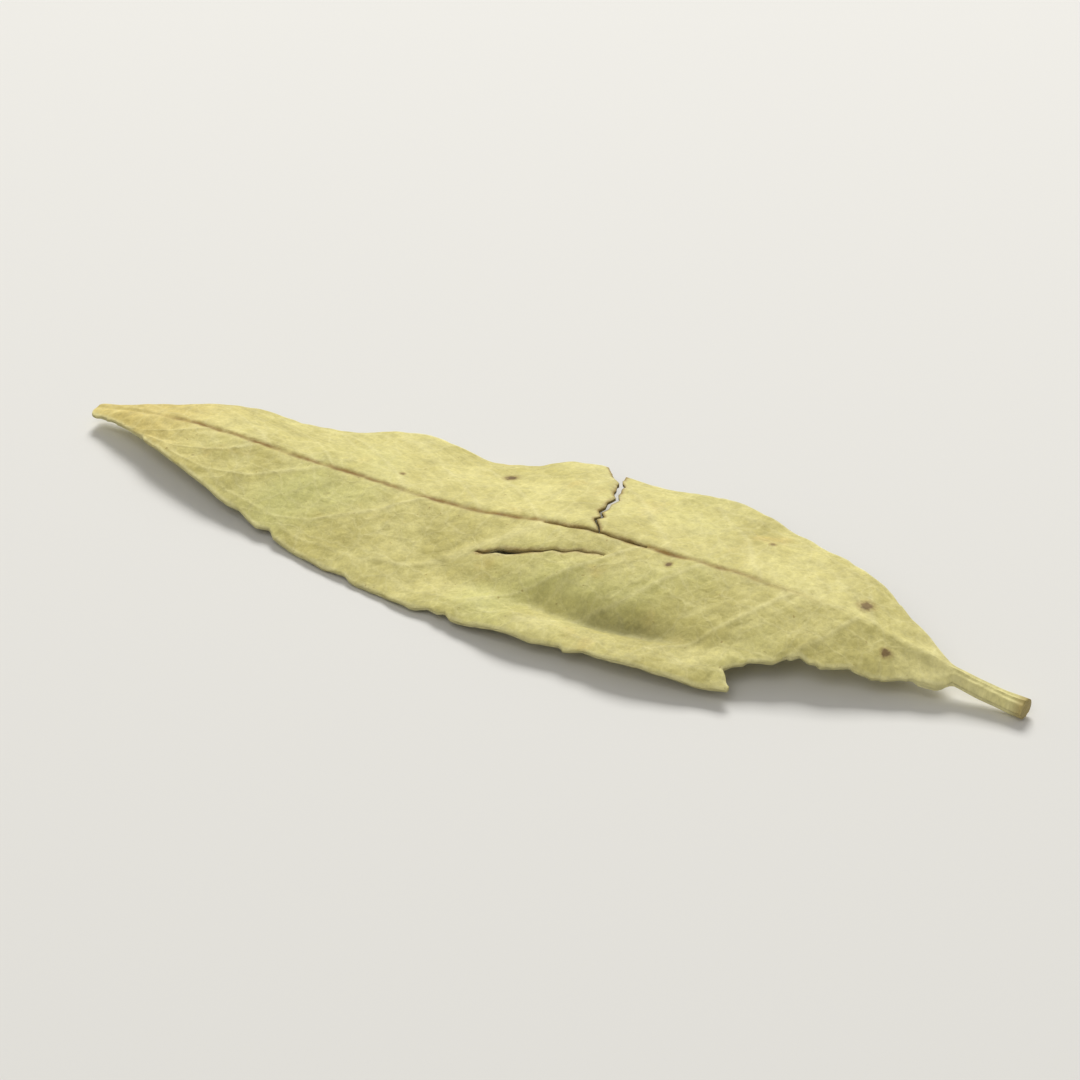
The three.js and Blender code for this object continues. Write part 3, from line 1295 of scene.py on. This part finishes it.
@dataclass(frozen=True)
class LeafFinish:
    """Colours and grain of the dried leaf."""

    # Colours
    light: Colour = linear(226, 216, 144)
    middle: Colour = linear(203, 193, 117)
    deep: Colour = linear(172, 160, 86)
    greenish: Colour = linear(184, 185, 108)
    warm: Colour = linear(208, 178, 98)
    under_light: Colour = linear(205, 199, 150)
    under_deep: Colour = linear(168, 161, 110)
    under_stain: Colour = linear(142, 114, 58)
    vein_pale: Colour = linear(231, 222, 162)
    rim_pale: Colour = linear(237, 229, 170)
    midrib_brown: Colour = linear(132, 98, 30)
    speck_brown: Colour = linear(92, 58, 12)
    # Grey of the painted shade in the crease of the near trough
    crease_painted_shade: Colour = linear(120, 116, 78)

    # Patches of them
    tints: Patches = Patches(3.4, 5.0, 0.65, 0.3, 0.7, 0.75)
    greens: Patches = Patches(7.0, 2.0, 0.5, 0.5, 0.8, 0.5)
    warmths: Patches = Patches(2.1, 4.0, 0.5, 0.6, 0.8, 0.5)
    midrib_gaps: Patches = Patches(1.3, 3.0, 0.5, 0.22, 0.6, 0.95)
    under_tints: Patches = Patches(2.6, 5.0, 0.65, 0.3, 0.7, 0.8)
    stains: Patches = Patches(2.0, 4.0, 0.5, 0.52, 0.66, 0.55)
    rims: Patches = Patches(0.8, 3.0, 0.5, 0.25, 0.6, 0.55)
    lips: Patches = Patches(0.9, 3.0, 0.5, 0.2, 0.6, 0.75)
    spots: Patches = Patches(4.0, 3.0, 0.5, 0.45, 0.7, 0.6)
    flecks: Patches = Patches(0.22, 2.0, 0.5, 0.68, 0.78, 0.5)

    # Grain, mottle and blotches in the colour, and grain, blotches and the fields between veins in the relief
    shading: tuple[float, ...] = (0.52, 0.5, 0.4)
    base_shade: float = 0.32
    relief: tuple[float, ...] = (0.013, 0.03, 0.016)
    network_relief: Stretch = (0.004, 0.012)

    # Places and widths of the marks, in millimetres; a mark fades in from the first of two to the second
    tip_warmth: Stretch = (7.0, 2.0)
    line_start: Stretch = (1.5, 5.0)
    line_end: Stretch = (31.0, 25.0)
    stalk_paling: Stretch = (32.0, 35.5)
    stalk_end: Stretch = (37.4, 37.95)
    rim_width: Stretch = (0.2, 0.02)
    lip_width: Stretch = (0.2, 0.0)
    stain_width: Stretch = (1.1, 0.0)
    midrib_line: float = 0.125
    # Place and size of the painted shade in the crease of the near trough
    crease_out: float = -3.55
    crease_along: float = 24.0
    crease_half_width: float = 0.5
    crease_half_length: float = 2.2
    spot_spacing: float = 1.7
    roughness: float = 0.66
    gloss: float = 0.25
    specks: tuple[Speck, ...] = (
        Speck(15.85, 3.35, 0.24, 0.8),
        Speck(31.4, 0.85, 0.26, 0.75),
        Speck(33.0, -0.75, 0.18, 0.9),
        Speck(24.4, -0.55, 0.13, 0.8),
        Speck(26.8, 2.6, 0.11, 0.55),
        Speck(12.7, 1.1, 0.1, 0.6),
    )

    def material(self) -> bpy.types.Material:
        """Build the leaf's material.

        Returns:
            The material, with mottled colour, pale veins and rim, brown midrib line, specks and fine relief.
        """
        shader = Shader("dry_leaf")
        leaf = LeafPlaces(shader)
        colour = shader.blend(self.upper_colour(leaf), self.lower_colour(leaf), leaf.under)
        colour = self.damage(colour, leaf)
        grain = shader.noise(leaf.places, 0.13, 4.0, 0.65)
        blotches = shader.noise(leaf.places, 0.75, 4.0, 0.6)
        mottle = shader.noise(leaf.places, 0.36, 3.0, 0.6)
        shade = sum(noise * amount for noise, amount in zip((grain, mottle, blotches), self.shading))
        heights = (grain, blotches, leaf.fields)
        relief = sum(height * amount for height, amount in zip(heights, self.relief))
        relief = relief + leaf.network * mix(*self.network_relief, leaf.under)
        rough = shader.noise(leaf.places, 0.9) * 0.2 + (self.roughness - 0.1)
        bump = {"Strength": 1.0, "Distance": 0.001, "Height": relief}
        return shader.finish({
            "Base Color": shader.scale(colour, shade + self.base_shade),
            "Roughness": rough,
            "Normal": shader.node("ShaderNodeBump", sockets=bump),
            "Specular IOR Level": self.gloss,
        })

    def upper_colour(self, leaf: LeafPlaces) -> Signal:
        """Colour the upper face: mottled straw with green and warm tints, pale veins, painted shade in the
        trough's crease and a brown midrib.

        Args:
            leaf: Places and values on the leaf.

        Returns:
            The colour.
        """
        blend = leaf.shader.blend
        colour = blend(self.deep, self.light, self.tints.over(leaf) + leaf.streaks * 0.3)
        colour = blend(colour, self.middle, 0.35)
        colour = blend(colour, self.greenish, self.greens.over(leaf))
        warm_tip = leaf.along.step(*self.tip_warmth) * 0.45
        colour = blend(colour, self.warm, self.warmths.over(leaf).most(warm_tip))
        colour = blend(colour, self.vein_pale, leaf.vein * 0.3)
        colour = blend(colour, self.vein_pale, leaf.network * 0.2)
        # Painted shade: a grey patch darkens the colour along the crease in the near trough, where the fold's
        # shadow falls
        crease = (leaf.out + leaf.wobble * 0.6).bell(self.crease_out, self.crease_half_width)
        crease = crease * leaf.along.bell(self.crease_along, self.crease_half_length)
        colour = blend(colour, self.crease_painted_shade, crease * 0.6)
        ends = leaf.along.step(*self.line_start) * leaf.along.step(*self.line_end)
        line = (leaf.out + leaf.wobble * 0.08).bell(0.0, self.midrib_line)
        return blend(colour, self.midrib_brown, line * ends * self.midrib_gaps.over(leaf))

    def lower_colour(self, leaf: LeafPlaces) -> Signal:
        """Colour the lower face: paler and greyer, with pale raised veins and brown stains near the margin.

        Args:
            leaf: Places and values on the leaf.

        Returns:
            The colour.
        """
        blend = leaf.shader.blend
        colour = blend(self.under_deep, self.under_light, self.under_tints.over(leaf) + leaf.streaks * 0.2)
        colour = blend(colour, self.vein_pale, leaf.vein.most(leaf.out.bell(0.0, 0.3)) * 0.6)
        colour = blend(colour, self.vein_pale, leaf.network * 0.25)
        return blend(colour, self.under_stain, leaf.edge.step(*self.stain_width) * self.stains.over(leaf))

    def damage(self, colour: Signal, leaf: LeafPlaces) -> Signal:
        """Add what age and handling left: a pale rim, dark flecks and specks and the brown end of the stalk.

        Args:
            colour: The colour so far.
            leaf: Places and values on the leaf.

        Returns:
            The colour.
        """
        blend = leaf.shader.blend
        colour = blend(colour, self.rim_pale, leaf.edge.step(*self.rim_width) * self.rims.over(leaf))
        lips = (leaf.crack + leaf.wobble * 0.15).step(*self.lip_width) * self.lips.over(leaf)
        colour = blend(colour, self.midrib_brown, lips)
        spots = leaf.shader.cells(leaf.warped, self.spot_spacing, "F1").step(0.085, 0.03)
        colour = blend(colour, self.speck_brown, spots * self.spots.over(leaf))
        colour = blend(colour, self.midrib_brown, self.flecks.over(leaf))
        for speck in self.specks:
            away = ((leaf.along - speck.along) ** 2.0 + (leaf.out - speck.out) ** 2.0) ** 0.5
            away = away / speck.radius + leaf.wobble * 1.5
            colour = blend(colour, self.midrib_brown, away.step(1.9, 1.0) * 0.4)
            colour = blend(colour, self.speck_brown, away.step(1.15, 0.45) * speck.darkness)
        colour = blend(colour, self.vein_pale, leaf.along.step(*self.stalk_paling) * 0.4)
        return blend(colour, self.midrib_brown, leaf.along.step(*self.stalk_end) * 0.55)


@dataclass(frozen=True)
class FloorFinish:
    """Plain pale floor."""

    colour: Colour = linear(222, 220, 214)
    roughness: float = 0.8

    def material(self) -> bpy.types.Material:
        """Build the floor's material."""
        return Shader("pale_floor").finish({"Base Color": self.colour, "Roughness": self.roughness})


@dataclass(frozen=True)
class SoftBox:
    """A square area light that looks at the leaf.

    Attributes:
        name: Its name.
        azimuth: Direction that it comes from, in degrees, 0 being from -Y.
        elevation: Its height above the horizon, in degrees.
        distance: Its distance in metres.
        size: Its width in metres.
        power: Its power in watts.
    """

    name: str
    azimuth: float
    elevation: float
    distance: float
    size: float
    power: float


@dataclass
class Studio:
    """Floor, lights and camera around the leaf.

    Attributes:
        azimuth: Direction that the camera looks from, in degrees, 0 being from -Y.
        elevation: Its height above the horizon, in degrees.
        lens: Focal length in millimetres.
        filling: Share of the picture's width that the leaf fills.
        floor_size: Width of the floor in metres.
        backlight: Strength of the even light from all round.
        backlight_colour: Its colour.
        boxes: The soft boxes.
    """

    azimuth: float = 31.0
    elevation: float = 32.0
    lens: float = 180.0
    filling: float = 0.86
    floor_size: float = 3.0
    backlight: float = 0.3
    backlight_colour: Colour = (1.0, 0.99, 0.97)
    boxes: tuple[SoftBox, ...] = (
        SoftBox("key", azimuth=206.0, elevation=42.0, distance=0.5, size=0.2, power=2.25),
        SoftBox("fill", azimuth=10.0, elevation=50.0, distance=0.6, size=0.4, power=0.9),
    )

    def aim(
        self, name: str, data: bpy.types.ID, target: Vector, angles: Stretch, distance: float
    ) -> bpy.types.Object:
        """Put a camera or light at a distance from the target and turn it to look there.

        Args:
            name: Name of the object.
            data: The camera or light.
            target: Where it looks.
            angles: Azimuth and elevation of its place, in degrees.
            distance: Its distance in metres.

        Returns:
            The linked object.
        """
        a, e = np.radians(angles)
        away = Vector((np.sin(a) * np.cos(e), -np.cos(a) * np.cos(e), np.sin(e)))
        stand = bpy.data.objects.new(name, data)
        stand.location = target + away * distance
        stand.rotation_mode = "QUATERNION"
        stand.rotation_quaternion = (-away).to_track_quat("-Z", "Y")
        bpy.context.scene.collection.objects.link(stand)
        return stand

    def build(self, low: Vector, high: Vector) -> None:
        """Set up the floor, the lights and the camera.

        Args:
            low: Lowest corner of the leaf, in metres.
            high: Its highest corner.
        """
        centre = (low + high) / 2.0
        self.lay_floor(low.z)
        self.light_up(centre)
        camera = bpy.data.cameras.new("camera")
        camera.lens = self.lens
        seen = (high.x - low.x) * np.cos(np.radians(self.azimuth))
        distance = seen / self.filling * self.lens / camera.sensor_width
        camera.clip_start = distance / 100.0
        stand = self.aim("camera", camera, centre, (self.azimuth, self.elevation), distance)
        bpy.context.scene.camera = stand

    def lay_floor(self, height: float) -> None:
        """Lay a flat square floor.

        Args:
            height: Its height in metres.
        """
        corners = np.array([[-1, -1, 0], [1, -1, 0], [1, 1, 0], [-1, 1, 0]]) * self.floor_size / 2.0
        corners[:, 2] = height
        floor = mesh_piece("floor", corners, np.array([[0, 1, 2, 3]]), np.array([False]), {})
        floor.data.materials.append(FloorFinish().material())

    def light_up(self, centre: Vector) -> None:
        """Add the soft boxes and an even pale backlight.

        Args:
            centre: The leaf's middle, in metres.
        """
        for box in self.boxes:
            lamp = bpy.data.lights.new(box.name, "AREA")
            lamp.size = box.size
            lamp.energy = box.power
            self.aim(box.name, lamp, centre, (box.azimuth, box.elevation), box.distance)
        world = bpy.data.worlds.new("room")
        world.use_nodes = True
        background = world.node_tree.nodes["Background"]
        background.inputs["Color"].default_value = (*self.backlight_colour, 1.0)
        background.inputs["Strength"].default_value = self.backlight
        bpy.context.scene.world = world


def main() -> None:
    """Load the frame, make the leaf around it and set the studio up."""
    logging.basicConfig(level=logging.INFO, format="%(name)s: %(message)s")
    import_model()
    low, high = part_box(NODE)
    low, high = Vector(low), Vector(high)
    leaf = Leaf().build(low, high)
    leaf.data.materials.append(LeafFinish().material())
    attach(leaf, BODY)
    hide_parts(NODE)
    LOG.info("%s: %d quads", leaf.name, len(leaf.data.polygons))
    Studio().build(low, high)
    bpy.context.scene.view_settings.view_transform = "Standard"


if __name__ == "__main__":
    main()
